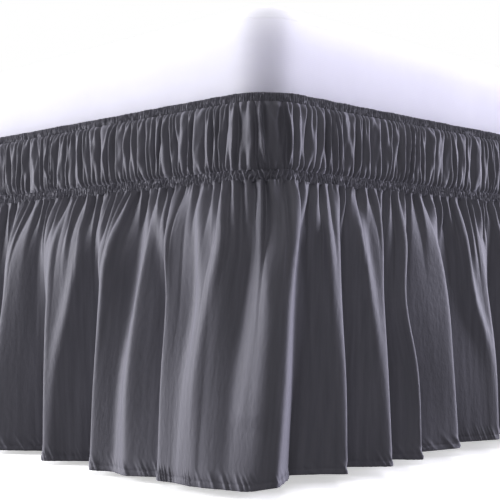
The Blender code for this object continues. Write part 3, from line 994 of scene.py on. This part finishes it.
def camera():
    data = bpy.data.cameras.new("camera")
    data.sensor_width = 36
    data.lens = CAMERA_LENS
    data.clip_start = 0.01
    place = bpy.data.objects.new("camera", data)
    forward = Vector((math.cos(CAMERA_PITCH) * math.cos(CAMERA_YAW),
                      math.cos(CAMERA_PITCH) * math.sin(CAMERA_YAW), math.sin(CAMERA_PITCH)))
    place.location = CAMERA_PLACE
    place.rotation_euler = forward.to_track_quat("-Z", "Y").to_euler()
    bpy.context.scene.collection.objects.link(place)
    bpy.context.scene.camera = place


def soft_light(name, place, target, power, size, colour):
    data = bpy.data.lights.new(name, "AREA")
    data.energy = power
    data.shape = "RECTANGLE"
    data.size, data.size_y = size
    data.color = colour
    light = bpy.data.objects.new(name, data)
    light.location = place
    facing = Vector(target) - Vector(place)
    light.rotation_euler = facing.to_track_quat("-Z", "Y").to_euler()
    bpy.context.scene.collection.objects.link(light)


def studio():
    world = bpy.data.worlds.new("studio")
    bpy.context.scene.world = world
    world.use_nodes = True
    nodes = world.node_tree.nodes
    links = world.node_tree.links
    around = nodes["Background"]
    around.inputs["Color"].default_value = (1, 1, 1, 1)
    around.inputs["Strength"].default_value = AROUND
    seen = nodes.new("ShaderNodeBackground")
    seen.inputs["Color"].default_value = (1, 1, 1, 1)
    seen.inputs["Strength"].default_value = 1.0
    path = nodes.new("ShaderNodeLightPath")
    either = nodes.new("ShaderNodeMixShader")
    links.new(path.outputs["Is Camera Ray"], either.inputs["Fac"])
    links.new(around.outputs["Background"], either.inputs[1])
    links.new(seen.outputs["Background"], either.inputs[2])
    links.new(either.outputs["Shader"], nodes["World Output"].inputs["Surface"])
    corner = Vector(LIT_CORNER)
    for name, azimuth, elevation, distance, power, size, colour in LIGHTS:
        away = Vector((math.cos(math.radians(azimuth)) * math.cos(math.radians(elevation)),
                       math.sin(math.radians(azimuth)) * math.cos(math.radians(elevation)),
                       math.sin(math.radians(elevation))))
        soft_light(name, corner + distance * away, corner, power, size, colour)
    bpy.context.scene.view_settings.view_transform = "Standard"


def floor():
    bpy.ops.mesh.primitive_plane_add(size=FLOOR_SIZE, location=(0, 0, 0))
    plane = bpy.context.object
    plane.name = "floor"
    material, shader = new_material("floor", FLOOR_COLOUR, FLOOR_ROUGHNESS)
    shader.inputs["Emission Color"].default_value = (1, 1, 1, 1)
    shader.inputs["Emission Strength"].default_value = FLOOR_GLOW
    plane.data.materials.append(material)
    plane.visible_diffuse = False


# ---------------------------------------------------------------------------------------------
# Making


def skirt():
    """The sheets of the skirt: each piece, the node that it stands for, and its flat size."""
    near, near_width, near_drop = ruffle("ruffle_near", *NEAR_FOLDS, NEAR_COLUMN, 1)
    far, far_width, far_drop = ruffle("ruffle_far", NEAR_FOLDS[1], len(FOLDS) + NEAR_FOLDS[0],
                                      FAR_COLUMN, FAR_ROWS_COARSER)
    fullness = (near_width + far_width) / PERIMETER
    near_flat = fullness * (NEAR_END - NEAR_START)
    far_flat = fullness * (PERIMETER - NEAR_END + NEAR_START)
    panel_drop = PANEL_CLOTH * (TOP_HEADING_LOW[2] - MIDDLE_HIGH[2])
    sheets = [
        (near, "lower_ruffle", (near_width, near_drop)),
        (far, "lower_ruffle", (far_width, far_drop)),
        (upper_panel("panel_near", NEAR_START, NEAR_END, *PANEL_NEAR_GRID), "upper_panel",
         (near_flat, panel_drop)),
        (upper_panel("panel_far", NEAR_END, NEAR_START, *PANEL_FAR_GRID), "upper_panel",
         (far_flat, panel_drop)),
    ]
    for part, low, high, look in (
            ("top_heading", TOP_HEADING_LOW, TOP_HEADING_HIGH, TOP_LOOK),
            ("middle_heading", MIDDLE_LOW, MIDDLE_HIGH, MIDDLE_LOOK)):
        for side, start, end, grid, flat in (
                ("_near", NEAR_START, NEAR_END, HEADING_NEAR_GRID, near_flat),
                ("_far", NEAR_END, NEAR_START, HEADING_FAR_GRID, far_flat)):
            piece = heading(part + side, low[2], high[2], start, end, *grid, look)
            sheets.append((piece, part, (flat, high[2] - low[2])))
    return sheets


def main():
    camera()
    studio()
    floor()
    materials = {finish.name: detailed_material(finish) for finish in FINISHES}
    white = materials["mattress_cloth"].node_tree.nodes["Principled BSDF"]
    white.inputs["Subsurface Weight"].default_value = MATTRESS_GLOW
    white.inputs["Subsurface Radius"].default_value = (1, 1, 1)
    white.inputs["Subsurface Scale"].default_value = MATTRESS_GLOW_REACH
    for piece, node, flat in skirt():
        slot = "elastic_heading" if "heading" in node else "skirt_cloth"
        piece.data.materials.append(materials[slot])
        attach(piece, "root")
        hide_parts(node)
    pad = mattress_pad()
    pad.data.materials.append(materials["mattress_cloth"])
    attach(pad, "root")
    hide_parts("mattress")
    for kept in bpy.data.objects:
        if kept.type == "MESH" and kept.name == "bed_base":
            kept.data.materials[0] = materials["base_cloth"]
        elif kept.type == "MESH" and kept.name.startswith("foot"):
            kept.data.materials[0] = materials["foot_wood"]


main()
